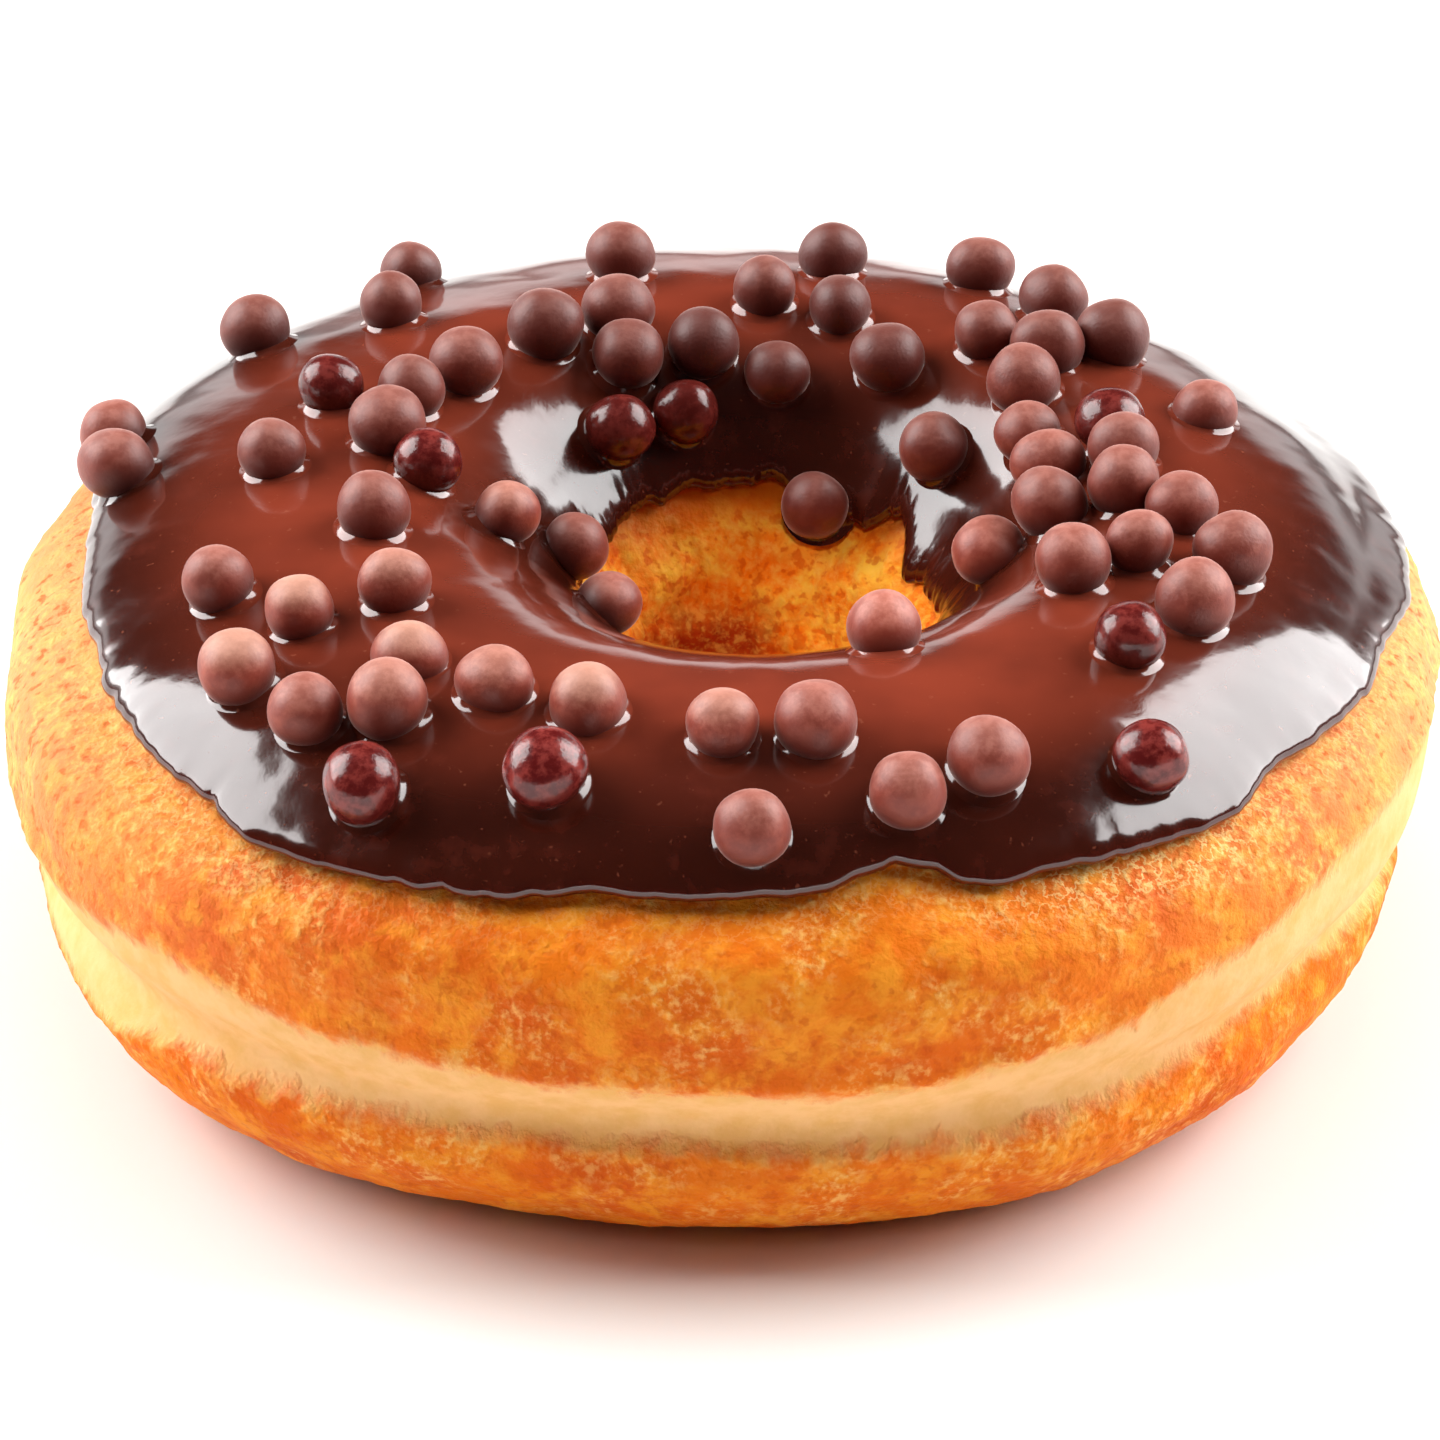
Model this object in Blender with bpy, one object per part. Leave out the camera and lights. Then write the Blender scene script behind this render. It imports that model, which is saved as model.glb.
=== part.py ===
"""Chocolate crunch doughnut: a fried ring with thick milk-chocolate icing and crunch balls.

Metres, +Z up, the ring lying flat on its base. A place on the ring is given by two angles:
the bearing round the ring (0 at +X, 90 at +Y) and the lean over its section
(-90 at the hole's waist, 0 on the crest, 90 at the widest line, 166 to 180 and -166 to -180
on the flat base).
"""
import math
import random

import bmesh
import bpy
from mathutils import Matrix, Vector

MM = 0.001

# Ring, measured over the icing on top and over the bare dough lower down
WIDEST_RADIUS = 46.0 * MM
WIDEST_HEIGHT = 19.7 * MM
CREST_RADIUS = 25.7 * MM
CREST_HEIGHT = 32.5 * MM
HOLE_RADIUS = 9.7 * MM
HOLE_HEIGHT = 13.1 * MM
BASE_OUTER_RADIUS = 33.0 * MM
BASE_INNER_RADIUS = 17.0 * MM
BASE_LEAN = 166
LOWER_FULLNESS = 2.5

# Waist of pale dough, where the ring floated between its two turns in the oil
WAIST_HEIGHT = 11.8 * MM
WAIST_DEPTH = 2.0 * MM
WAIST_SPREAD = 2.6 * MM

# Unevenness: swells round the ring (count, share of the radius, bearing of a swell)
SWELLS = ((2, 0.008, 0), (3, 0.007, -15), (4, 0.0104, 41), (5, 0.0086, 7))
BACK_RISE = 0.5 * MM
HOLE_SHIFT = 3.0 * MM
HOLE_BULGE = 1.8 * MM
BULGE_BEARING = -152
BULGE_SPREAD = 35

# Icing
ICING_THICKNESS = 1.6 * MM
GAP = 0.3 * MM
DOUGH_RECESS = ICING_THICKNESS + GAP
EDGE_ROUNDNESS = 6.0
RECESS_END_LEAN = 78
RECESS_EASE = 30

# Small runs along the icing's edges, in degrees of lean (count round the ring, share, turns of phase)
RIPPLE_LEAN = 1.1
RIPPLES = ((17, 0.6, 1), (29, 0.4, 2))
HOLE_EDGE_PHASE = 1.0
OUTER_EDGE_PHASE = 2.5

# Lean of the icing's two edges at chosen bearings
OUTER_EDGE = (
    (-176, 51), (-154, 51), (-137, 54), (-124, 59), (-113, 58), (-100, 55),
    (-84, 53), (-74, 48), (-66, 55), (-46, 59), (-37, 57), (-20, 60),
    (6, 65), (45, 60), (90, 58), (140, 61), (166, 54),
)
HOLE_EDGE = (
    (-135, -60), (-90, -63), (-45, -60), (0, -63), (32, -64), (46, -55),
    (61, -59), (88, -53), (120, -54), (140, -57), (180, -59),
)

# Crunch balls, in rows from the hole outwards: the lean of a row, and the bearings of its balls
BALL_RADIUS = 2.3 * MM
BALL_SPREAD = 0.2 * MM
BALL_SINK = 1.0 * MM
BALL_JITTER = 0.3
BALL_TURN = 40
BALL_DIVISIONS = 2
BALL_ROWS = {
    -57: (72,),
    -50: (169, -154),
    -38: (-14, 40, 108, 127),
    -30: (85, -174),
    -23: (-9, 7, 21, 62, 100, 116),
    -15: (-68, 33, 177),
    -10: (74, 112, 126, 144),
    -6: (-33, -7, 3, 13, 48, 87, 156, 169),
    -2: (37, -164),
    3: (-144, -23),
    7: (159, -11),
    12: (-131, -119, -107, 34, 77, 105, 177),
    17: (-146, -91, -81, -41, 16, 47, 135),
    20: (-30, -19, 59),
    24: (-126, -157),
    31: (-142, -132, -107, -65),
    35: (-73, 124, 144),
    41: (-122, -87, -50, 172),
    48: (163,),
}

# Fineness of the meshes
RING_STEPS = 60
DOUGH_SECTION_POINTS = 30
ICING_SECTION_POINTS = 22
CROWDED_LEAN = 125
CROWDING = 25
NORMAL_STEP = 0.5
PLAIN_RING_RADIUS = 1.0
PLAIN_SECTION_RADIUS = 0.1
SEED = 7


def clear_scene():
    for thing in list(bpy.data.objects):
        bpy.data.objects.remove(thing, do_unlink=True)


def smooth_step(share):
    share = min(max(share, 0.0), 1.0)
    return share * share * (3 - 2 * share)


def around(keys, bearing):
    """Value at a bearing, easing from each key to the next right round the ring."""
    turned = (bearing - keys[0][0]) % 360 + keys[0][0]
    closed = list(keys) + [(keys[0][0] + 360, keys[0][1])]
    for (start, first), (end, last) in zip(closed, closed[1:]):
        if turned <= end:
            return first + (last - first) * smooth_step((turned - start) / (end - start))
    return closed[-1][1]


def lower_quarter(lean):
    """Shares across and down of the rounded quarter from the widest line, or waist, to the base."""
    power = 2 / LOWER_FULLNESS
    fall = math.radians(90) * (abs(lean) - 90) / (BASE_LEAN - 90)
    return abs(math.cos(fall)) ** power, math.sin(fall) ** power


def section(lean):
    """Radius and height of the ring's outer face at a lean."""
    angle = math.radians(lean)
    if abs(lean) >= BASE_LEAN:
        middle = (BASE_OUTER_RADIUS + BASE_INNER_RADIUS) / 2
        half = math.copysign(BASE_OUTER_RADIUS - middle, lean)
        return middle + half * (180 - abs(lean)) / (180 - BASE_LEAN), 0.0
    if lean > 90:
        across, down = lower_quarter(lean)
        height = WIDEST_HEIGHT * (1 - down)
        waist = WAIST_DEPTH * math.exp(-((height - WAIST_HEIGHT) / WAIST_SPREAD) ** 2)
        return BASE_OUTER_RADIUS + (WIDEST_RADIUS - BASE_OUTER_RADIUS) * across - waist, height
    if lean < -90:
        across, down = lower_quarter(lean)
        return BASE_INNER_RADIUS - (BASE_INNER_RADIUS - HOLE_RADIUS) * across, HOLE_HEIGHT * (1 - down)
    side_radius, side_height = (WIDEST_RADIUS, WIDEST_HEIGHT) if lean > 0 else (HOLE_RADIUS, HOLE_HEIGHT)
    radius = CREST_RADIUS + abs(side_radius - CREST_RADIUS) * math.sin(angle)
    return radius, side_height + (CREST_HEIGHT - side_height) * math.cos(angle)


def section_normal(lean):
    """Direction out of the section, across and up."""
    before, after = section(max(lean - NORMAL_STEP, -180)), section(min(lean + NORMAL_STEP, 180))
    return Vector((before[1] - after[1], after[0] - before[0])).normalized()


def placed(radius, height, bearing):
    """A point of the even ring, moved by the swells, the rise at the back and the hole's own form."""
    swell = sum(share * math.cos(math.radians(count * (bearing - top))) for count, share, top in SWELLS)
    inward = smooth_step((WIDEST_RADIUS - radius) / (WIDEST_RADIUS - HOLE_RADIUS))
    from_bulge = (bearing - BULGE_BEARING + 180) % 360 - 180
    radius *= 1 + swell * (1 - inward)
    radius -= HOLE_BULGE * inward * math.exp(-(from_bulge / BULGE_SPREAD) ** 2)
    turn = math.radians(bearing)
    lift = BACK_RISE * math.sin(turn) * height / CREST_HEIGHT
    return Vector((radius * math.cos(turn) + HOLE_SHIFT * inward, radius * math.sin(turn), height + lift))


def on_ring(lean, proud, bearing):
    """The point that stands proud of the outer face by a distance, at a lean and bearing."""
    radius, height = section(lean)
    across, up = section_normal(lean) * proud
    return placed(radius + across, height + up, bearing)


def dough_depth(lean):
    """How far the dough lies under the outer face: deep under the icing, none lower down."""
    return DOUGH_RECESS * smooth_step((RECESS_END_LEAN - abs(lean)) / RECESS_EASE)


def ripple(bearing, phase):
    """Small runs along an icing edge, in degrees of lean."""
    turn = math.radians(bearing)
    waves = (share * math.sin(count * turn + turns * phase) for count, share, turns in RIPPLES)
    return RIPPLE_LEAN * sum(waves)


def icing_lean(share, bearing):
    """Lean at a share of the way across the icing, from -1 at the hole edge to 1 at the outer edge."""
    hole = around(HOLE_EDGE, bearing) + ripple(bearing, HOLE_EDGE_PHASE)
    outer = around(OUTER_EDGE, bearing) + ripple(bearing, OUTER_EDGE_PHASE)
    return hole + (outer - hole) * (share + 1) / 2


def icing_fullness(share):
    return (1 - min(abs(share), 1) ** EDGE_ROUNDNESS) ** 0.5


def icing_top(lean, bearing):
    """How far the icing's face stands proud of the outer face."""
    hole, outer = icing_lean(-1, bearing), icing_lean(1, bearing)
    share = 2 * (lean - hole) / (outer - hole) - 1
    return GAP - dough_depth(lean) + ICING_THICKNESS * (1 + icing_fullness(share)) / 2


def spun_ring(points):
    """A closed plain ring of round section, to be shaped by its angles."""
    mesh = bmesh.new()
    bmesh.ops.create_circle(mesh, segments=points, radius=PLAIN_SECTION_RADIUS)
    bmesh.ops.rotate(mesh, verts=mesh.verts, matrix=Matrix.Rotation(math.radians(90), 3, "X"))
    bmesh.ops.translate(mesh, verts=mesh.verts, vec=(PLAIN_RING_RADIUS, 0, 0))
    bmesh.ops.spin(
        mesh, geom=mesh.verts[:] + mesh.edges[:], cent=(0, 0, 0), axis=(0, 0, 1),
        angle=math.tau, steps=RING_STEPS, use_merge=True,
    )
    return mesh


def ring_angles(vertex):
    """Bearing of a vertex of the plain ring, and its angle over the section from the crest."""
    x, y, z = vertex.co
    return math.degrees(math.atan2(y, x)), math.atan2(math.hypot(x, y) - PLAIN_RING_RADIUS, z)


def finished(mesh, name, collection, material):
    """Turn a bmesh into a named, smooth-shaded object with its material."""
    bmesh.ops.recalc_face_normals(mesh, faces=mesh.faces)
    data = bpy.data.meshes.new(name)
    mesh.to_mesh(data)
    mesh.free()
    data.shade_smooth()
    data.materials.append(material)
    thing = bpy.data.objects.new(name, data)
    collection.objects.link(thing)
    return thing


def plain_material(name, colour, roughness):
    material = bpy.data.materials.new(name)
    material.use_nodes = True
    shader = material.node_tree.nodes["Principled BSDF"]
    shader.inputs["Base Color"].default_value = (*colour, 1)
    shader.inputs["Roughness"].default_value = roughness
    shader.inputs["Metallic"].default_value = 0
    return material


def fried_dough():
    return plain_material("fried_dough", (0.68, 0.24, 0.05), 0.6)


def milk_chocolate():
    return plain_material("milk_chocolate", (0.13, 0.03, 0.015), 0.25)


def crowded(angle):
    """Lean of a section point: evenly spaced angles are drawn together round the waist."""
    past = math.radians(180 - CROWDED_LEAN)
    return math.degrees(angle) + CROWDING * (math.sin(angle + past) + math.sin(past))


def dough_ring(collection, material):
    """The fried ring, with its flat base and its pale waist."""
    mesh = spun_ring(DOUGH_SECTION_POINTS)
    for vertex in mesh.verts:
        bearing, angle = ring_angles(vertex)
        lean = crowded(angle)
        vertex.co = on_ring(lean, -dough_depth(lean), bearing)
    return finished(mesh, "dough_ring", collection, material)


def icing_skin(collection, material):
    """The icing alone: a closed sheet with round edges, draped over the dough."""
    mesh = spun_ring(ICING_SECTION_POINTS)
    for vertex in mesh.verts:
        bearing, angle = ring_angles(vertex)
        share = math.sin(angle)
        side = math.copysign(icing_fullness(share), math.cos(angle))
        lean = icing_lean(share, bearing)
        proud = GAP - dough_depth(lean) + ICING_THICKNESS * (1 + side) / 2
        vertex.co = on_ring(lean, proud, bearing)
    return finished(mesh, "chocolate_icing", collection, material)


def ball_places():
    """Bearing, lean and radius of every crunch ball."""
    chance = random.Random(SEED)
    for lean, bearings in BALL_ROWS.items():
        for bearing in bearings:
            radius = BALL_RADIUS + chance.uniform(-BALL_SPREAD, BALL_SPREAD)
            aside = chance.uniform(-BALL_JITTER, BALL_JITTER)
            yield bearing + aside, lean + chance.uniform(-BALL_JITTER, BALL_JITTER), radius


def crunch_balls(collection, material):
    """Every ball as its own small faceted sphere, sunk a little into the icing."""
    for number, (bearing, lean, radius) in enumerate(ball_places(), 1):
        mesh = bmesh.new()
        bmesh.ops.create_icosphere(mesh, subdivisions=BALL_DIVISIONS, radius=radius)
        centre = on_ring(lean, icing_top(lean, bearing) + radius - BALL_SINK, bearing)
        turn = Matrix.Rotation(math.radians(bearing + BALL_TURN * number), 3, "Z")
        bmesh.ops.rotate(mesh, verts=mesh.verts, matrix=turn)
        bmesh.ops.translate(mesh, verts=mesh.verts, vec=centre)
        finished(mesh, f"crunch_ball_{number}", collection, material)


def fuse(base, collection):
    """Join a collection's objects to the base with one union, then remove them."""
    union = base.modifiers.new("balls", "BOOLEAN")
    union.operation = "UNION"
    union.operand_type = "COLLECTION"
    union.collection = collection
    union.solver = "EXACT"
    bpy.context.view_layer.update()
    evaluated = base.evaluated_get(bpy.context.evaluated_depsgraph_get())
    joined = bpy.data.meshes.new_from_object(evaluated)
    base.modifiers.clear()
    base.data = joined
    for thing in list(collection.objects):
        bpy.data.objects.remove(thing, do_unlink=True)
    bpy.data.collections.remove(collection)


def centre_on_axis(things):
    """Move the meshes so that the middle of their common box lies on the Z axis."""
    points = [vertex.co for thing in things for vertex in thing.data.vertices]
    middle = [(min(p[axis] for p in points) + max(p[axis] for p in points)) / 2 for axis in (0, 1)]
    for thing in things:
        thing.data.transform(Matrix.Translation((-middle[0], -middle[1], 0)))


def build():
    clear_scene()
    collection = bpy.data.collections.new("chocolate_crunch_doughnut")
    loose = bpy.data.collections.new("loose_crunch_balls")
    for group in (collection, loose):
        bpy.context.scene.collection.children.link(group)
    chocolate = milk_chocolate()
    dough = dough_ring(collection, fried_dough())
    icing = icing_skin(collection, chocolate)
    crunch_balls(loose, chocolate)
    fuse(icing, loose)
    centre_on_axis((dough, icing))


build()
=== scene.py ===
import functools
import math
import random

import bmesh
import bpy
from mathutils import Matrix, Vector, noise


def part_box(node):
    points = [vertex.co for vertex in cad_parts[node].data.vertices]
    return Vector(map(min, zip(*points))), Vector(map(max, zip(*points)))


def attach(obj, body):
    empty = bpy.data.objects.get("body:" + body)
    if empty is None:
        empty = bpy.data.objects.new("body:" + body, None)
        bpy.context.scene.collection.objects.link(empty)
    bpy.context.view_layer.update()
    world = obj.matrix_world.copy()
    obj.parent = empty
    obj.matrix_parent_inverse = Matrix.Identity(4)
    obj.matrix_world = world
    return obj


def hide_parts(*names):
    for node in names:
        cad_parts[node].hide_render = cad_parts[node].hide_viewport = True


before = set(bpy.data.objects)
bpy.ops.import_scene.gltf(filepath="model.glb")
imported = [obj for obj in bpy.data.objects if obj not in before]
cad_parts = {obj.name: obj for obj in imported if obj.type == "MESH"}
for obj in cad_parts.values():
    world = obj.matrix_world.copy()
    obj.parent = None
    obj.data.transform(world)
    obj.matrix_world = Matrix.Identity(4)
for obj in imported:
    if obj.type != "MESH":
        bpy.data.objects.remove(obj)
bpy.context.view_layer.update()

# Chocolate crunch doughnut: the fried ring, its icing and the crunch balls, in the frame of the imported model.
# A place on the ring has a bearing (0 at +X, 90 at +Y) and a lean over the section
# (-90 at the hole's waist, 0 on the crest, 90 at the widest line, past 166 on the flat base).

mm = 0.001
scene = bpy.context.scene

ringForm = {
    "widestRadius": 46.0 * mm,
    "widestHeight": 19.7 * mm,
    "crestRadius": 25.7 * mm,
    "crestHeight": 32.5 * mm,
    "holeRadius": 9.7 * mm,
    "holeHeight": 13.1 * mm,
    "baseOuterRadius": 33.0 * mm,
    "baseInnerRadius": 17.0 * mm,
    "baseLean": 166,
    "lowerFullness": 2.5,
    "waistHeight": 11.8 * mm,
    "waistDepth": 2.0 * mm,
    "waistSpread": 2.6 * mm,
    "swells": ((2, 0.008, 0), (3, 0.007, -15), (4, 0.0104, 41), (5, 0.0086, 7)),  # count, share, bearing
    "backRise": 0.5 * mm,
    "holeShift": 3.0 * mm,
    "holeBulge": 1.8 * mm,
    "bulgeBearing": -152,
    "bulgeSpread": 35,
    "slopeStep": 0.5,  # degrees of lean to each side, where a slope is measured
    "besideWidest": (84, 90, 96),  # leans among which the outline lies, seen from above
}


def smoothStep(share):
    share = min(max(share, 0.0), 1.0)
    return share * share * (3 - 2 * share)


def rise(value, start, end):  # 0 at the start, 1 at the end, smooth on the way
    return smoothStep((value - start) / (end - start))


def around(keys, bearing):  # eases from each key to the next, right round the ring
    turned = (bearing - keys[0][0]) % 360 + keys[0][0]
    closed = list(keys) + [(keys[0][0] + 360, keys[0][1])]
    for (start, first), (end, last) in zip(closed, closed[1:]):
        if turned <= end:
            return first + (last - first) * rise(turned, start, end)
    return closed[-1][1]


@functools.lru_cache(None)
def section(lean):  # radius and height of the ring's outer face
    form = ringForm
    angle = math.radians(lean)
    if abs(lean) >= form["baseLean"]:
        middle = (form["baseOuterRadius"] + form["baseInnerRadius"]) / 2
        half = math.copysign(form["baseOuterRadius"] - middle, lean)
        return middle + half * (180 - abs(lean)) / (180 - form["baseLean"]), 0.0
    if abs(lean) > 90:
        fall = math.radians(90) * (abs(lean) - 90) / (form["baseLean"] - 90)
        across = abs(math.cos(fall)) ** (2 / form["lowerFullness"])
        down = math.sin(fall) ** (2 / form["lowerFullness"])
        if lean < 0:
            inset = (form["baseInnerRadius"] - form["holeRadius"]) * across
            return form["baseInnerRadius"] - inset, form["holeHeight"] * (1 - down)
        height = form["widestHeight"] * (1 - down)
        waist = form["waistDepth"] * math.exp(-((height - form["waistHeight"]) / form["waistSpread"]) ** 2)
        reach = (form["widestRadius"] - form["baseOuterRadius"]) * across
        return form["baseOuterRadius"] + reach - waist, height
    sideRadius, sideHeight = form["holeRadius"], form["holeHeight"]
    if lean > 0:
        sideRadius, sideHeight = form["widestRadius"], form["widestHeight"]
    radius = form["crestRadius"] + abs(sideRadius - form["crestRadius"]) * math.sin(angle)
    return radius, sideHeight + (form["crestHeight"] - sideHeight) * math.cos(angle)


@functools.lru_cache(None)
def sectionNormal(lean):
    step = ringForm["slopeStep"]
    before, after = section(max(lean - step, -180)), section(min(lean + step, 180))
    return Vector((before[1] - after[1], after[0] - before[0])).normalized()


@functools.lru_cache(None)
def unevenness(bearing):  # share that the ring swells, and how far the hole's side bulges in
    form = ringForm
    swell = sum(share * math.cos(math.radians(count * (bearing - at))) for count, share, at in form["swells"])
    fromBulge = (bearing - form["bulgeBearing"] + 180) % 360 - 180
    return swell, form["holeBulge"] * math.exp(-(fromBulge / form["bulgeSpread"]) ** 2)


def placed(radius, height, bearing):  # the even ring's point, moved by swells, rise, shift and bulge
    form = ringForm
    swell, bulge = unevenness(bearing)
    inward = rise(radius, form["widestRadius"], form["holeRadius"])
    radius *= 1 + swell * (1 - inward)
    radius -= bulge * inward
    turn = math.radians(bearing)
    aside = form["holeShift"] * inward
    lift = form["backRise"] * math.sin(turn) * height / form["crestHeight"]
    return Vector((radius * math.cos(turn) + aside, radius * math.sin(turn), height + lift))


def middleOfForm():  # middle of the form's outline, seen from above
    rim = [placed(*section(lean), bearing) for lean in ringForm["besideWidest"] for bearing in range(360)]
    return [(min(p[axis] for p in rim) + max(p[axis] for p in rim)) / 2 for axis in (0, 1)]


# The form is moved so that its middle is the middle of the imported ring
packedMiddle = [(low + high) / 2 for low, high in zip(*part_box("dough_ring"))]
formMiddle = middleOfForm()
toFrame = Vector((packedMiddle[0] - formMiddle[0], packedMiddle[1] - formMiddle[1], 0))


def onRing(lean, proud, bearing):  # stands proud of the outer face by a distance
    radius, height = section(lean)
    across, up = sectionNormal(lean) * proud
    return placed(radius + across, height + up, bearing) + toFrame


# Shader building: arithmetic on a wire adds its Math nodes
class Wire:
    def __init__(self, tree, socket):
        self.tree = tree
        self.socket = socket

    def maths(self, operation, first, second):
        node = self.tree.nodes.new("ShaderNodeMath")
        node.operation = operation
        for slot, value in zip(node.inputs, (first, second)):
            if isinstance(value, Wire):
                self.tree.links.new(value.socket, slot)
            else:
                slot.default_value = value
        return Wire(self.tree, node.outputs[0])

    def __add__(self, other):
        return self.maths("ADD", self, other)

    def __radd__(self, other):
        return self.maths("ADD", other, self)

    def __sub__(self, other):
        return self.maths("SUBTRACT", self, other)

    def __rsub__(self, other):
        return self.maths("SUBTRACT", other, self)

    def __mul__(self, other):
        return self.maths("MULTIPLY", self, other)

    def __rmul__(self, other):
        return self.maths("MULTIPLY", other, self)

    def __pow__(self, other):
        return self.maths("POWER", self, other)

    def __rpow__(self, other):
        return self.maths("POWER", other, self)


def linear(red, green, blue):  # a display colour of 0 to 255, for a shader socket
    parts = [(((c / 255) + 0.055) / 1.055) ** 2.4 if c > 10 else c / 255 / 12.92 for c in (red, green, blue)]
    return (*parts, 1)


class Weave:  # one node tree, and a method for every node that isn't arithmetic
    def __init__(self, tree):
        self.tree = tree

    def node(self, kind, settings, sockets, output=0):
        made = self.tree.nodes.new(kind)
        for name, value in settings.items():
            setattr(made, name, value)
        for socket, value in sockets.items():
            if isinstance(value, Wire):
                self.tree.links.new(value.socket, made.inputs[socket])
            else:
                made.inputs[socket].default_value = value
        return Wire(self.tree, made.outputs[output])

    def between(self, value, low, high):  # 0 at low, 1 at high, smooth on the way
        sockets = {"Value": value, "From Min": low, "From Max": high}
        return self.node("ShaderNodeMapRange", {"interpolation_type": "SMOOTHSTEP"}, sockets)


class Finish(Weave):  # one material with its Principled shader
    mixSockets = {"factor": 0, "first": 6, "second": 7, "mixed": 2}  # those of a Mix node's colours

    def __init__(self, name, fixed):
        self.material = bpy.data.materials.new(name)
        self.material.use_nodes = True
        super().__init__(self.material.node_tree)
        self.shader = self.tree.nodes["Principled BSDF"]
        for socket, value in fixed.items():
            self.shader.inputs[socket].default_value = value

    def place(self):
        return self.node("ShaderNodeTexCoord", {}, {}, "Object")

    def attribute(self, name):
        return self.node("ShaderNodeAttribute", {"attribute_name": name}, {}, "Fac")

    def cloud(self, size, detail, rough, stretch=(1, 1, 1)):  # noise with features of a size
        spot = self.node("ShaderNodeMapping", {}, {"Vector": self.place(), "Scale": stretch})
        sockets = {"Vector": spot, "Scale": 1 / size, "Detail": detail, "Roughness": rough}
        return self.node("ShaderNodeTexNoise", {}, sockets, "Fac")

    def mix(self, factor, first, second):
        at = self.mixSockets
        sockets = {at["factor"]: factor, at["first"]: first, at["second"]: second}
        return self.node("ShaderNodeMix", {"data_type": "RGBA"}, sockets, at["mixed"])

    def layer(self, under, pattern, look):  # a look is a colour, its strength, and the range it fades in over
        colour, strength, *fade = look
        mask = self.between(pattern, *fade) if fade else pattern
        return self.mix(mask * strength, under, linear(*colour))

    def bump(self, height, strength, distance):
        sockets = {"Height": height, "Strength": strength, "Distance": distance}
        return self.node("ShaderNodeBump", {}, sockets)

    def feed(self, **wires):
        for name, wire in wires.items():
            self.tree.links.new(wire.socket, self.shader.inputs[name])
        return self.material


# Shared mesh steps
plainRing = {
    "radius": 1.0,
    "sectionRadius": 0.1,
    "cuts": 9,  # made in every edge that runs along the ring
    "same": 0.1,  # degrees, within which two angles are the same
}


def spunRing(points, steps):  # plain ring of round section, for its vertices to be placed
    plain = plainRing
    mesh = bmesh.new()
    bmesh.ops.create_circle(mesh, segments=points, radius=plain["sectionRadius"])
    bmesh.ops.rotate(mesh, verts=mesh.verts, matrix=Matrix.Rotation(math.radians(90), 3, "X"))
    bmesh.ops.translate(mesh, verts=mesh.verts, vec=(plain["radius"], 0, 0))
    bmesh.ops.spin(
        mesh, geom=mesh.verts[:] + mesh.edges[:], cent=(0, 0, 0), axis=(0, 0, 1),
        angle=math.tau, steps=steps // (plain["cuts"] + 1), use_merge=True,
    )
    over = mesh.verts.layers.float.new("over")  # angle over the round section from the crest, in degrees
    for vertex in mesh.verts:
        x, y, z = vertex.co
        angle = math.degrees(math.atan2(math.hypot(x, y) - plain["radius"], z))
        vertex[over] = -180 if angle > 180 - plain["same"] else angle
    along = [edge for edge in mesh.edges if abs(edge.verts[0][over] - edge.verts[1][over]) < plain["same"]]
    bmesh.ops.subdivide_edges(mesh, edges=along, cuts=plain["cuts"])
    return mesh, over


def finished(mesh, name, material, node):
    bmesh.ops.recalc_face_normals(mesh, faces=mesh.faces)
    data = bpy.data.meshes.new(name)
    mesh.to_mesh(data)
    mesh.free()
    data.shade_smooth()
    data.materials.append(material)
    piece = bpy.data.objects.new(name, data)
    scene.collection.objects.link(piece)
    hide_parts(node)
    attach(piece, "root")
    print(name, "has", len(data.polygons), "faces")
    return piece


def ease(keys, value):  # straight lines between keys
    for (start, first), (end, last) in zip(keys, keys[1:]):
        if value <= end:
            return first + (last - first) * (value - start) / (end - start)
    return keys[-1][1]


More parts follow.
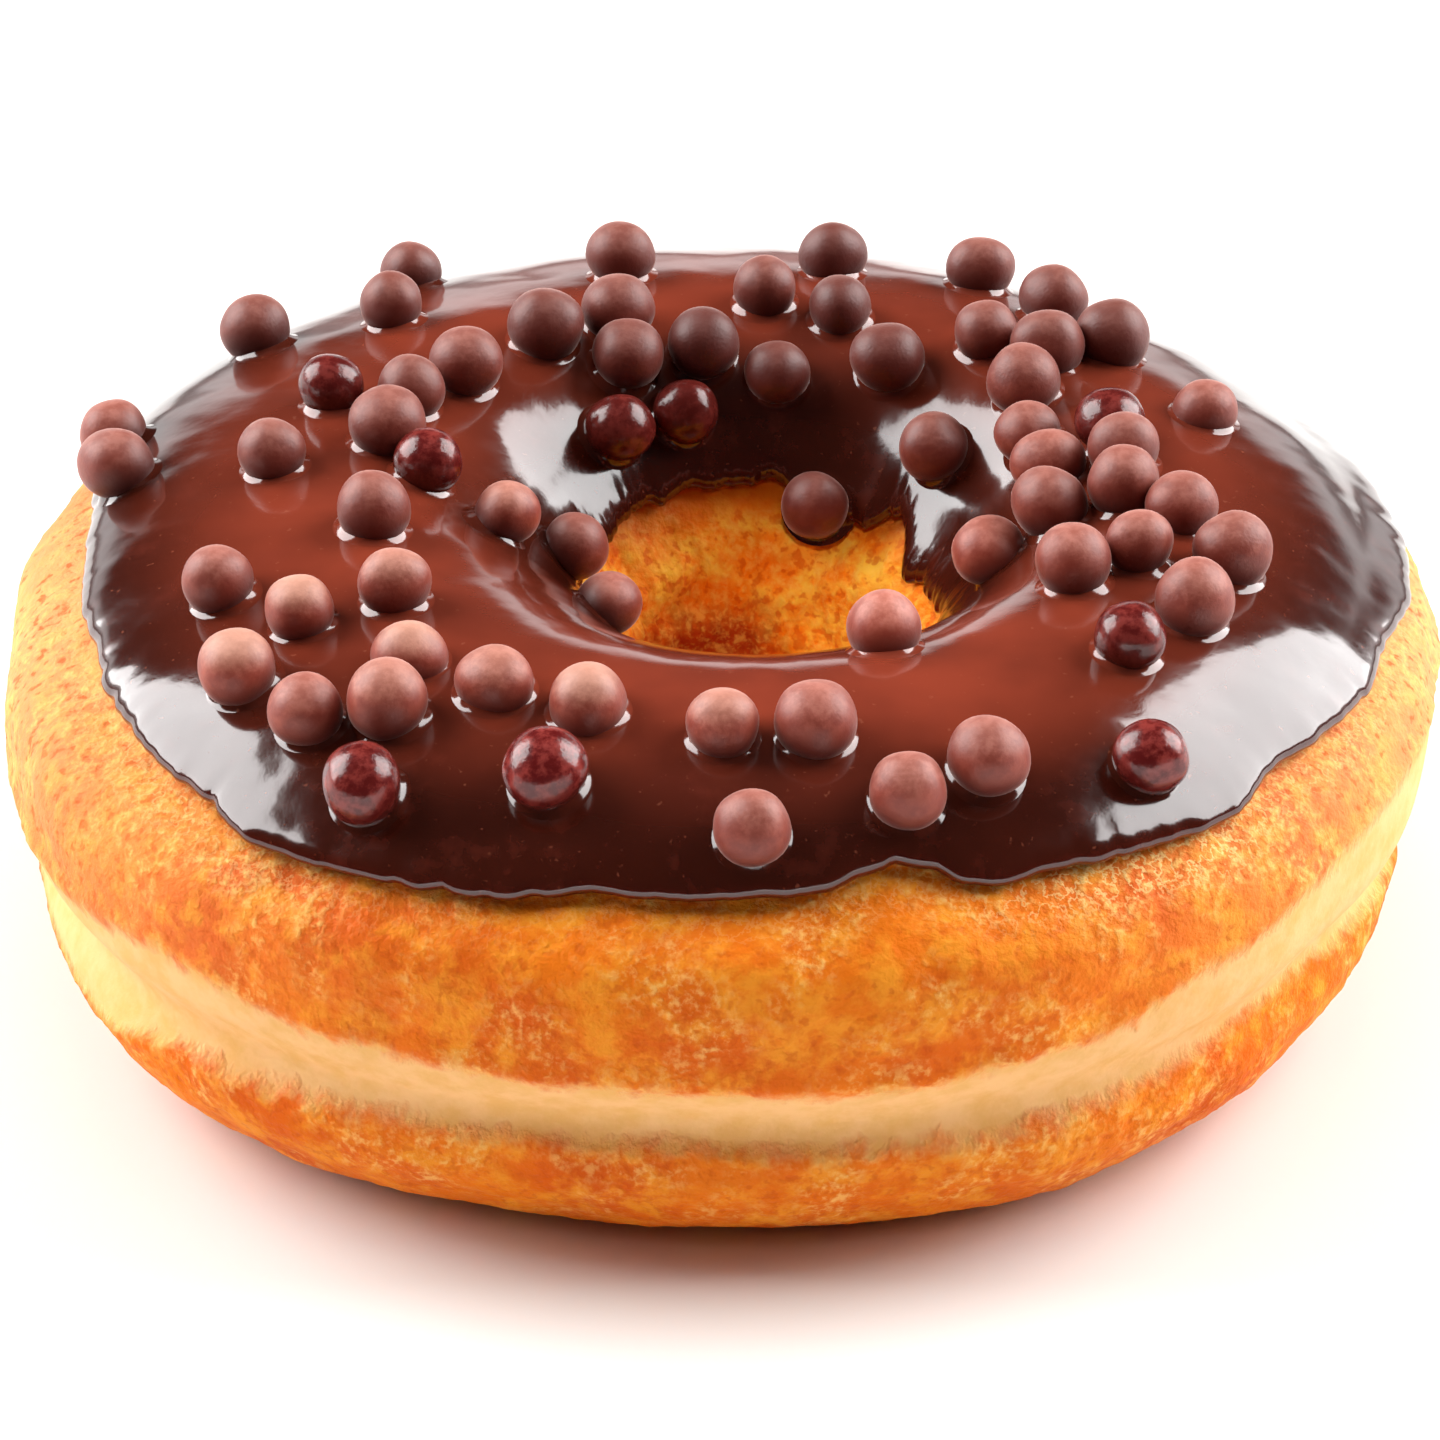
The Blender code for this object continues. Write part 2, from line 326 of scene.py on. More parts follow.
# Fried ring
doughRing = {
    "steps": 600,
    "sectionPoints": 160,
    "leans": (  # section angle to lean: close together where the dough shows, far apart under the icing
        (-180, -180), (-173.25, -166), (-155.25, -120), (-87.75, -50), (-74.25, 40), (-65.25, 52),
        (146.25, 150), (164.25, 166), (180, 180),
    ),
    "swell": 0.4 * mm,
    "swellSize": 11 * mm,
    "knobble": 0.2 * mm,
    "knobbleSize": 3.0 * mm,
    "knobbleApart": (7, 3, 1),  # sets its noise apart from the swell's
    "grain": 0.09 * mm,
    "grainSize": 1.0 * mm,
    "grainNoise": (0.8, 2.1, 3),  # smoothness, step in size and number of its octaves
    "lip": 0.3 * mm,  # the crust stands up at the waist's edges
    "lipPlace": 0.7,  # mm outside the pale waist, and mm of its spread
    "crumb": 0.75 * mm,
    "crumbSize": 2.4 * mm,
    "crumbNoise": (0.9, 2.0, 4),
    "crumbFromTop": (-56, -66),  # leans between which the crumb fades in
    "crumbFromFoot": (-168, -148),
    "calm": 0.9,  # share of the fine relief that the pale waist lacks
    "calmed": (-0.4, 0.8),  # mm inside the waist's edge, between which it goes
    "recess": 1.9 * mm,  # how much deeper the dough lies under the icing
    "recessed": (78, 48),  # degrees off the crest, between which it gets there
    "clearOfIcing": (48, 56),  # degrees off the crest, between which the relief fades in
    "clearOfBase": (0, 2.5 * mm),  # and heights between which it does
    "bandTop": (  # height of the pale waist's top edge, mm, at bearings
        (-150, 16.7), (-136, 18.1), (-118, 16.4), (-98, 15.4), (-76, 15.1), (-62, 16.4), (-50, 18.7),
        (-38, 20.2), (-26, 20.7), (20, 19.0), (80, 17.0), (140, 16.2), (190, 16.0),
    ),
    "bandFoot": (
        (-150, 7.7), (-136, 10.1), (-98, 10.5), (-69, 10.0), (-54, 10.7), (-39, 11.8), (-16, 10.2),
        (60, 9.6), (140, 9.0),
    ),
    "bandAboveLean": 60,  # only on the outer side
    "wrinkled": (  # how wrinkled the crust is below the icing, 0 to 1, at bearings
        (-170, 0.2), (-140, 0.5), (-110, 0.15), (-72, 0.25), (-60, 0.9), (-50, 1.0), (-38, 0.5),
        (0, 0.3), (60, 0.6), (120, 0.3),
    ),
    "wrinkles": (18, 4),  # degrees below the icing's edge
    "wrinklesAboveLean": 45,
    "insideFromTop": (-56, -64),  # leans between which the hole's own colours fade in
    "insideFromFoot": (-150, -120),
    "litFlank": (12 * mm, 21 * mm),  # painted highlight: heights between which the sides of the ring, towards the side lights, are painted paler
    "back": (0, 0.625),  # painted shade: sines of the bearing between which the back of the ring is painted darker
    "deep": (21 * mm, 14 * mm),  # painted shade: heights between which the hole is painted darker red, low down
    "deepInside": (-50, -60),
    "deepLeft": (0.35, -0.15),  # cosines of the bearing, between which the painted shade grows towards the left
    "deepRight": 0.2,  # what is left of the painted shade at the right
}
crustMarks = ("pale", "inside", "fold", "litFlank", "deep", "back")  # attributes that the crust's colours go by
crustNoises = ("blotch", "cluster", "mottle", "fleck", "speck", "streak")
farFromWaist = -9.0  # in place of mm inside the waist

doughLooks = {  # a layer is a colour, its strength, and the range of its pattern that it fades in over
    "fixed": {
        "Subsurface Weight": 0.12, "Subsurface Scale": 1.5 * mm, "Subsurface Radius": (1.0, 0.45, 0.2),
        "Specular IOR Level": 0.12,
    },
    "blotch": (10 * mm, 3.0, 0.55),  # noises: size of features, detail, roughness
    "cluster": (5.5 * mm, 2.0, 0.5),
    "mottle": (2.4 * mm, 4.0, 0.62),
    "fleck": (0.42 * mm, 3.0, 0.6),
    "speck": (0.8 * mm, 2.0, 0.5),
    "streak": (1.1 * mm, 3.0, 0.6, (1, 1, 0.3)),  # drawn out in height
    "spotted": (0.46, 0.66),
    "clustered": (0.4, 0.64),
    "clusteredByFolds": 0.16,
    "darkSpecks": (0.43, 0.31),
    "speckStrength": (0.4, 0.3),  # all round, and added on the flanks
    "ridged": (0.0016, 0.0),
    "golden": (238, 120, 14),
    "browned": ((222, 94, 8), 1.0, 0.38, 0.64),
    "honey": ((252, 164, 44), 0.7, 0.42, 0.68),
    # painted highlight: the ring's sides towards the side lights made paler
    "flankHighlight": ((252, 186, 128), 0.55),
    "paleSpots": ((255, 200, 112), 0.7),
    "brownSpecks": ((208, 82, 12), 1.0),
    "paleRidges": ((254, 214, 140), 0.75),
    # painted shade: the back of the crust darker, against the strong light from behind
    "backShade": ((194, 88, 14), 0.55),
    "waist": (244, 192, 130),
    "waistMottle": ((234, 178, 104), 1.0, 0.35, 0.7),
    # painted shade: the back of the pale waist darker
    "waistBackShade": ((206, 148, 82), 0.6),
    "waistEdge": (-1.1, 0.7),  # mm inside the waist's ragged edge
    "smoothEdge": (-0.6, 0.6),
    "raggedByMottle": 2.8,
    "raggedByStreak": 1.8,
    "inner": (248, 126, 14),
    "innerCrumb": ((255, 192, 62), 1.0, 0.38, 0.66),
    "innerAmber": ((244, 120, 20), 0.6, 0.44, 0.62),
    "innerSpecks": ((216, 76, 6), 0.6, 0.46, 0.34),
    # painted shade: darker red low in the hole and towards its left
    "innerRedShade": ((164, 34, 8), 0.9, 0.2, 1.0),
    "redByMottle": 0.9,
    "innerSpots": ((255, 196, 84), 0.45),
    "rough": (0.5, 0.25),  # least, and added by the flecks
    "relief": {"fleck": 0.4, "speck": 0.4, "mottle": 0.35},
    "foldRelief": 0.4,
    "waistSmoothness": 0.8,
    "bumpStrength": 0.85,
    "bumpHeight": 0.4 * mm,
}


def bandPaleness(height, bearing):  # mm inside the pale waist, negative outside it
    top, footShade = around(doughRing["bandTop"], bearing), around(doughRing["bandFoot"], bearing)
    return min(top - height / mm, height / mm - footShade)


def doughDepth(lean):  # below the ring's outer face
    return doughRing["recess"] * rise(abs(lean), *doughRing["recessed"])


def doughRelief(point, lean, height, pale):
    piece = doughRing
    swell = noise.noise(point / piece["swellSize"]) * piece["swell"]
    knobble = noise.noise(point / piece["knobbleSize"] + Vector(piece["knobbleApart"])) * piece["knobble"]
    grain = noise.fractal(point / piece["grainSize"], *piece["grainNoise"]) * piece["grain"]
    calm = 1 - piece["calm"] * rise(pale, *piece["calmed"])  # the pale waist is smoother
    lip = piece["lip"] * math.exp(-((pale + piece["lipPlace"]) / piece["lipPlace"]) ** 2)
    hole = rise(lean, *piece["crumbFromTop"]) * rise(lean, *piece["crumbFromFoot"])
    crumb = noise.fractal(point / piece["crumbSize"], *piece["crumbNoise"]) * piece["crumb"] * hole
    clear = rise(height, *piece["clearOfBase"]) * rise(abs(lean), *piece["clearOfIcing"])
    return (swell + (knobble + grain) * calm + lip + crumb) * clear


def crustColour(finish, noises, marks, spotting):  # the browned crust above and below the waist
    looks = doughLooks
    crust = finish.layer(linear(*looks["golden"]), noises["blotch"], looks["browned"])
    crust = finish.layer(crust, noises["mottle"], looks["honey"])
    # painted highlight on the sides of the ring
    crust = finish.layer(crust, marks["litFlank"], looks["flankHighlight"])
    gathered = noises["cluster"] + marks["fold"] * looks["clusteredByFolds"]
    crust = finish.layer(crust, spotting * finish.between(gathered, *looks["clustered"]), looks["paleSpots"])
    everywhere, onFlank = looks["speckStrength"]
    specks = finish.between(noises["speck"], *looks["darkSpecks"]) * (everywhere + marks["litFlank"] * onFlank)
    crust = finish.layer(crust, specks, looks["brownSpecks"])
    ridges = finish.between((noises["streak"] - 0.5) ** 2.0, *looks["ridged"]) * marks["fold"]
    crust = finish.layer(crust, ridges, looks["paleRidges"])
    # painted shade at the back of the ring
    return finish.layer(crust, marks["back"], looks["backShade"])


def holeColour(finish, noises, marks, spotting):  # the open crumb of the hole's wall, redder low down
    looks = doughLooks
    inner = finish.layer(linear(*looks["inner"]), noises["mottle"], looks["innerCrumb"])
    inner = finish.layer(inner, noises["cluster"], looks["innerAmber"])
    inner = finish.layer(inner, noises["speck"], looks["innerSpecks"])
    # painted shade deep in the hole, broken up by the mottle
    deepShade = marks["deep"] + (noises["mottle"] - 0.5) * looks["redByMottle"]
    inner = finish.layer(inner, deepShade, looks["innerRedShade"])
    return finish.layer(inner, spotting, looks["innerSpots"])


def makeFinishOfDough():
    looks = doughLooks
    finish = Finish("fried_crust", looks["fixed"])
    marks = {name: finish.attribute(name) for name in crustMarks}
    noises = {name: finish.cloud(*looks[name]) for name in crustNoises}
    mottle, fleck, speck, streak = (noises[name] for name in ("mottle", "fleck", "speck", "streak"))
    spotting = finish.between(fleck * 0.5 + speck * 0.5, *looks["spotted"])
    crust = crustColour(finish, noises, marks, spotting)
    waist = finish.layer(linear(*looks["waist"]), mottle, looks["waistMottle"])
    # painted shade at the back of the waist
    waist = finish.layer(waist, marks["back"], looks["waistBackShade"])
    ragged = (mottle - 0.5) * looks["raggedByMottle"] + (streak - 0.5) * looks["raggedByStreak"]
    edge = marks["pale"] + ragged
    skin = finish.mix(finish.between(edge, *looks["waistEdge"]), crust, waist)
    inner = holeColour(finish, noises, marks, spotting)
    uneven = 1 - finish.between(edge, *looks["smoothEdge"]) * (1 - marks["inside"]) * looks["waistSmoothness"]
    relief = streak * marks["fold"] * looks["foldRelief"]
    for name, share in looks["relief"].items():
        relief += noises[name] * share
    leastRough, byFlecks = looks["rough"]
    return finish.feed(**{
        "Base Color": finish.mix(marks["inside"], skin, inner),
        "Roughness": leastRough + fleck * byFlecks,
        "Normal": finish.bump(relief * uneven, looks["bumpStrength"], looks["bumpHeight"]),
    })


def crustMarksAt(lean, height, bearing, pale):  # what the crust's colours go by, at one place
    piece = doughRing
    turn = math.radians(bearing)
    belowIcing = lean - icingLeans(bearing)[1]
    wrinkles = rise(belowIcing, *piece["wrinkles"]) * around(piece["wrinkled"], bearing)
    leftward = piece["deepRight"] + (1 - piece["deepRight"]) * rise(math.cos(turn), *piece["deepLeft"])
    return {
        "pale": pale,
        "inside": rise(lean, *piece["insideFromTop"]) * rise(lean, *piece["insideFromFoot"]),
        "fold": wrinkles if lean > piece["wrinklesAboveLean"] else 0.0,
        # painted highlight: strongest on the sides at +X and -X, where the side lights fall
        "litFlank": math.cos(turn) ** 4 * rise(height, *piece["litFlank"]),
        # painted shade low in the hole
        "deep": rise(height, *piece["deep"]) * rise(lean, *piece["deepInside"]) * leftward,
        # painted shade: strongest at the back of the ring
        "back": rise(math.sin(turn), *piece["back"]),
    }


def makeDoughRing():
    piece = doughRing
    mesh, over = spunRing(piece["sectionPoints"], piece["steps"])
    layers = {name: mesh.verts.layers.float.new(name) for name in crustMarks}
    for vertex in mesh.verts:
        bearing = math.degrees(math.atan2(vertex.co.y, vertex.co.x))
        lean = ease(piece["leans"], vertex[over])
        height = section(lean)[1]
        pale = bandPaleness(height, bearing) if lean > piece["bandAboveLean"] else farFromWaist
        smooth = onRing(lean, -doughDepth(lean), bearing)
        vertex.co = onRing(lean, doughRelief(smooth, lean, height, pale) - doughDepth(lean), bearing)
        vertex.co.z = max(vertex.co.z, 0.0)
        for name, value in crustMarksAt(lean, height, bearing, pale).items():
            vertex[layers[name]] = value
    return finished(mesh, "fried_ring", makeFinishOfDough(), "dough_ring")


# Icing
icingCoat = {
    "steps": 640,
    "sectionPoints": 150,
    "topShare": 0.82,
    "evenness": 0.1,  # how evenly its points are spread from edge to edge
    "thickness": 1.6 * mm,
    "gap": 0.3 * mm,
    "belly": 0.35 * mm,  # how far its underside sags into the dough
    "edge": (6.0, 0.5),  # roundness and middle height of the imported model's icing edge
    "bead": (14.0, 0.25),  # those of this coat's edge
    "outerEdge": (
        (-176, 51), (-154, 51), (-137, 54), (-124, 59), (-113, 58), (-100, 55),
        (-84, 53), (-74, 48), (-66, 55), (-46, 59), (-37, 57), (-20, 60),
        (6, 65), (45, 60), (90, 58), (140, 61), (166, 54),
    ),
    "holeEdge": (
        (-135, -60), (-90, -63), (-45, -60), (0, -63), (32, -64), (46, -55),
        (61, -59), (88, -53), (120, -54), (140, -57), (180, -59),
    ),
    "ripples": ((17, 0.66, 1), (29, 0.44, 2)),  # count round the ring, degrees of lean, times the phase
    "holePhase": 1.0,
    "outerPhase": 2.5,
    "fineRuns": ((19, 0.7), (47, 0.35)),  # how close together, degrees of lean
    "scallop": 1.5,  # degrees of lean, where the edge is scalloped
    "scallops": 96,
    "scallopMiddle": 0.6,
    "scallopPatches": (5, 2.2),  # how close together, how sharp
    "swell": 0.24 * mm,
    "swellSize": 10 * mm,
    "swellApart": (3, 9, 4),
    "run": 0.07 * mm,
    "runSize": 4.0 * mm,
    "ruffle": 0.02 * mm,
    "ruffleSize": 1.7 * mm,
    "lowShadeLeans": (8, 44),  # painted shade: degrees off the crest, between which the icing is painted darker
}

icingLooks = {  # noises and layers as for the dough
    "fixed": {"IOR": 1.5, "Coat Weight": 0.45, "Coat Roughness": 0.06, "Coat IOR": 1.5},
    "cloud": (9 * mm, 3.0, 0.5),
    "silk": (2.2 * mm, 4.0, 0.6),
    "speck": (0.5 * mm, 2.0, 0.5),
    "chocolate": (130, 53, 35),
    "clouded": ((112, 45, 30), 1.0, 0.35, 0.68),
    # painted shade: the icing darker low on its slopes, standing in for the dark it reflects
    "lowShade": ((58, 18, 9), 1.0),
    "silky": ((122, 50, 36), 0.2, 0.5, 0.75),
    "specks": ((150, 84, 62), 0.4, 0.68, 0.78),
    # darker red where the icing thins: partly its own colour, partly a painted shade line under its edge
    "thinEdgeShade": ((84, 12, 9), 0.85, 0.25, 0.9),
    "rough": (0.09, 0.08),  # least, and added by the silk
    "silkRelief": 0.3,
    "cloudRelief": 0.7,
    "bumpStrength": 0.15,
    "bumpHeight": 0.5 * mm,
}


icingNoises = ("cloud", "silk", "speck")


def ripple(bearing, phase):  # small runs along an icing edge, in degrees of lean
    turn = math.radians(bearing)
    return sum(lean * math.sin(count * turn + times * phase) for count, lean, times in icingCoat["ripples"])


@functools.lru_cache(None)
def icingLeans(bearing):  # lean of the hole edge and of the outer edge
    piece = icingCoat
    hole = around(piece["holeEdge"], bearing) + ripple(bearing, piece["holePhase"])
    outer = around(piece["outerEdge"], bearing) + ripple(bearing, piece["outerPhase"])
    turn = math.radians(bearing)
    spot = Vector((math.cos(turn), math.sin(turn), 0))
    close, sharp = piece["scallopPatches"]
    scalloped = smoothStep(noise.noise(spot * close) * sharp) * piece["scallop"]
    fine = sum(noise.noise(spot * near) * lean for near, lean in piece["fineRuns"])
    wavy = abs(math.sin(turn * piece["scallops"] / 2)) - piece["scallopMiddle"]
    return hole + fine, outer + fine + scalloped * wavy


def icingFullness(share, roundness):  # 1 well inside the coat, 0 at its edges
    return (1 - min(abs(share), 1) ** roundness) ** 0.5


def icingTop(lean, bearing, edge):  # how far the icing's face stands proud of the ring's outer face
    hole, outer = icingLeans(bearing)
    roundness, middle = edge
    full = icingFullness(2 * (lean - hole) / (outer - hole) - 1, roundness)
    high = icingCoat["gap"] - doughDepth(lean) + icingCoat["thickness"] * (middle + (1 - middle) * full)
    return high, full


def icingFace(lean, bearing, proud=0.0):  # a point on the coat's top, with its waves
    piece = icingCoat
    high, full = icingTop(lean, bearing, piece["bead"])
    point = onRing(lean, high, bearing)
    wave = noise.noise(point / piece["swellSize"] + Vector(piece["swellApart"])) * piece["swell"]
    wave += noise.noise(point / piece["runSize"]) * piece["run"]
    wave += noise.noise(point / piece["ruffleSize"]) * piece["ruffle"]
    return onRing(lean, high + wave * full + proud, bearing), full


def icingLowShade(lean):  # painted shade: how dark the icing is painted, from 0 on the crest to 1 low down
    return rise(abs(lean), *icingCoat["lowShadeLeans"])


def makeFinishOfIcing(name):
    looks = icingLooks
    finish = Finish(name, looks["fixed"])
    cloud, silk, speck = (finish.cloud(*looks[each]) for each in icingNoises)
    colour = finish.layer(linear(*looks["chocolate"]), cloud, looks["clouded"])
    # painted shade low on the icing's slopes
    colour = finish.layer(colour, finish.attribute("lowShade"), looks["lowShade"])
    colour = finish.layer(colour, silk, looks["silky"])
    colour = finish.layer(colour, speck, looks["specks"])
    # the thin edge's own colour with a painted shade line under the bead
    colour = finish.layer(colour, finish.attribute("thin"), looks["thinEdgeShade"])
    relief = silk * looks["silkRelief"] + cloud * looks["cloudRelief"]
    leastRough, bySilk = looks["rough"]
    return finish.feed(**{
        "Base Color": colour,
        "Roughness": leastRough + silk * bySilk,
        "Normal": finish.bump(relief, looks["bumpStrength"], looks["bumpHeight"]),
    })


def makeIcing():
    piece = icingCoat
    mesh, over = spunRing(piece["sectionPoints"], piece["steps"])
    thins = mesh.verts.layers.float.new("thin")
    lowShades = mesh.verts.layers.float.new("lowShade")
    under = 180 * (1 - piece["topShare"])
    roundness, middle = piece["bead"]
    for vertex in mesh.verts:
        bearing, angle = math.degrees(math.atan2(vertex.co.y, vertex.co.x)), vertex[over]
        top = abs(angle) < 180 - under
        span = angle / (180 - under) if top else (180 - abs(angle)) / under * math.copysign(1, angle)
        share = piece["evenness"] * span + (1 - piece["evenness"]) * math.sin(math.radians(90) * span)
        hole, outer = icingLeans(bearing)
        lean = hole + (outer - hole) * (share + 1) / 2
        vertex[lowShades] = icingLowShade(lean)
        if top:
            vertex.co, full = icingFace(lean, bearing)
            vertex[thins] = 1 - full
        else:
            full = icingFullness(share, roundness)
            low = piece["gap"] - doughDepth(lean) + piece["thickness"] * middle * (1 - full)
            vertex.co = onRing(lean, low - piece["belly"] * full, bearing)
            vertex[thins] = 1.0
    return finished(mesh, "icing_coat", makeFinishOfIcing("icing_gloss"), "chocolate_icing")


# Crunch balls, in rows from the hole outwards: the lean of a row, and the bearings of its balls
crunchBalls = {
    "radius": 2.3 * mm,
    "spread": 0.2 * mm,
    "sink": 1.0 * mm,
    "jitter": 0.3,
    "seed": 7,
    "rows": {
        -57: (72,),
        -50: (169, -154),
        -38: (-14, 40, 108, 127),
        -30: (85, -174),
        -23: (-9, 7, 21, 62, 100, 116),
        -15: (-68, 33, 177),
        -10: (74, 112, 126, 144),
        -6: (-33, -7, 3, 13, 48, 87, 156, 169),
        -2: (37, -164),
        3: (-144, -23),
        7: (159, -11),
        12: (-131, -119, -107, 34, 77, 105, 177),
        17: (-146, -91, -81, -41, 16, 47, 135),
        20: (-30, -19, 59),
        24: (-126, -157),
        31: (-142, -132, -107, -65),
        35: (-73, 124, 144),
        41: (-122, -87, -50, 172),
        48: (163,),
    },
    "wet": (  # row and bearing of the balls that look wet
        (41, -122), (31, -107), (41, -50), (17, -41), (-38, 108), (-38, 127), (-6, 13), (7, 159), (-15, 177),
    ),
    "deep": ((12, -131), (12, -119), (12, -107), (17, 16)),  # and of those that sit deeper
    "deeper": 0.7 * mm,
    "subdivisions": 4,
    "unround": 0.06,
    "lump": 0.14 * mm,
    "lumpSize": 2.2 * mm,
    "lumpsApart": 50,  # range over which the balls' noises are set apart
    # tone that differs at random, with painted shade on the balls at the back
    "tintByChance": 0.4,
    "shadeBehind": (0.3, 0.6),  # painted shade: balls at the back are darker: at the sides, and added at the back
}

ballLooks = {  # noises and layers as for the dough
    "dust": (0.9 * mm, 4.0, 0.65),
    "grain": (0.22 * mm, 2.0, 0.5),
    # darker by random tone and by painted shade at the back
    "tintedAndShaded": ((78, 26, 20), 0.9),
    # painted shade: each ball darker at its foot, towards the icing
    "footShade": ((66, 18, 12), 0.92, -0.5, 0.6),
    # painted highlight: each ball's top paler, broken up by the dust
    "litTop": (170, 96, 80),
    "litTopDust": ((194, 122, 106), 1.0, 0.36, 0.68),
    "litTopPalest": ((222, 172, 146), 0.5, 0.14, 0.02),
    "litTopShare": (0.25, 1.0),  # share of the radius above the middle
    "litTopByDust": 0.4,
    "footByDust": 0.5,
    "sheenRoughness": 0.3,
    "sheenTint": (255, 214, 204),
    "dustRelief": 0.6,
    "grainRelief": 0.4,
    "bumpStrength": 0.35,
    "bumpHeight": 0.12 * mm,
    "matt": {
        "sheen": 0.6,
        "base": (138, 52, 35),
        "dusted": ((160, 72, 53), 1.0, 0.36, 0.68),
        "rough": (0.4, 0.2),
    },
    "wet": {
        "sheen": 0.0,
        "base": (92, 20, 20),
        "dusted": ((146, 56, 50), 1.0, 0.4, 0.66),
        "rough": (0.12, 0.16),
    },
}


def ballPlaces():  # row lean and row bearing, then the bearing, lean and radius of every ball
    piece = crunchBalls
    chance = random.Random(piece["seed"])
    for rowLean, bearings in piece["rows"].items():
        for rowBearing in bearings:
            radius = piece["radius"] + chance.uniform(-piece["spread"], piece["spread"])
            bearing = rowBearing + chance.uniform(-piece["jitter"], piece["jitter"])
            lean = rowLean + chance.uniform(-piece["jitter"], piece["jitter"])
            yield (rowLean, rowBearing), bearing, lean, radius


def ballSink(key):
    return crunchBalls["sink"] + (crunchBalls["deeper"] if key in crunchBalls["deep"] else 0)


def ballCentre(key, bearing, lean, radius):  # and the way down from it to the ring
    centre = onRing(lean, icingTop(lean, bearing, icingCoat["edge"])[0] + radius - ballSink(key), bearing)
    return centre, (onRing(lean, 0, bearing) - centre).normalized()


# Icing that climbs each ball a little
icingCollars = {
    "segments": 36,
    "rows": 8,
    "climb": 0.45 * mm,
    "curl": 2.2,
    "reach": 0.85 * mm,
    "tuck": 0.05 * mm,
    "inBall": 0.3 * mm,
    "fits": 3,
    "seam": 0.001 * mm,
}


def makeCollars(balls):
    piece = icingCollars
    mesh = bmesh.new()
    thins = mesh.verts.layers.float.new("thin")
    lowShades = mesh.verts.layers.float.new("lowShade")
    slope = ringForm["slopeStep"]
    for key, bearing, lean, radius in balls:
        high = radius - ballSink(key)
        contact = math.sqrt(radius ** 2 - (high - piece["climb"]) ** 2) - piece["inBall"]
        centre, down = ballCentre(key, bearing, lean, radius)
        perLean = (Vector(section(lean + slope)) - Vector(section(lean - slope))).length / (2 * slope)
        perBearing = math.radians(1) * Vector(onRing(lean, 0, bearing) - toFrame).xy.length
        grid = bmesh.ops.create_grid(mesh, x_segments=piece["segments"], y_segments=piece["rows"], size=1)
        made = grid["verts"]
        for vertex in made:
            turn = math.pi * (vertex.co.x + 1)
            along = (vertex.co.y + 1) / 2  # 0 on the ball, 1 out on the coat
            out = contact + piece["reach"] * along
            proud = piece["climb"] * (1 - along) ** piece["curl"] - piece["tuck"] * along
            step = out
            for _ in range(piece["fits"]):  # until it stands the right way off the line down from the ball
                aside = bearing + step * math.cos(turn) / perBearing
                over = lean + step * math.sin(turn) / perLean
                vertex.co = icingFace(over, aside, proud)[0]
                away = vertex.co - centre
                step *= out / (away - down * away.dot(down)).length
            vertex[thins] = 0.0
            vertex[lowShades] = icingLowShade(over)
        bmesh.ops.remove_doubles(mesh, verts=made, dist=piece["seam"])
    return finished(mesh, "icing_collars", makeFinishOfIcing("collar_gloss"), "chocolate_icing")


def makeFinishOfBalls(name, kind):
    looks, own = ballLooks, ballLooks[kind]
    finish = Finish(name, {
        "IOR": 1.5, "Sheen Weight": own["sheen"], "Sheen Roughness": looks["sheenRoughness"],
        "Sheen Tint": linear(*looks["sheenTint"]),
    })
    tintAndShade, footShade = finish.attribute("tintAndShade"), finish.attribute("footShade")
    dust, grain = finish.cloud(*looks["dust"]), finish.cloud(*looks["grain"])
    colour = finish.layer(linear(*own["base"]), dust, own["dusted"])
    if kind == "matt":
        # painted highlight on the ball's top
        litTop = finish.layer(linear(*looks["litTop"]), dust, looks["litTopDust"])
        litTop = finish.layer(litTop, tintAndShade, looks["litTopPalest"])
        litTopShare = finish.attribute("litTop") + (dust - 0.5) * looks["litTopByDust"]
        colour = finish.mix(finish.between(litTopShare, *looks["litTopShare"]), colour, litTop)
    # random tone and painted shade on the balls at the back
    colour = finish.layer(colour, tintAndShade, looks["tintedAndShaded"])
    # painted shade at the ball's foot
    colour = finish.layer(colour, footShade + (dust - 0.5) * looks["footByDust"], looks["footShade"])
    relief = dust * looks["dustRelief"] + grain * looks["grainRelief"]
    leastRough, byDust = own["rough"]
    return finish.feed(**{
        "Base Color": colour,
        "Roughness": leastRough + dust * byDust,
        "Normal": finish.bump(relief, looks["bumpStrength"], looks["bumpHeight"]),
    })


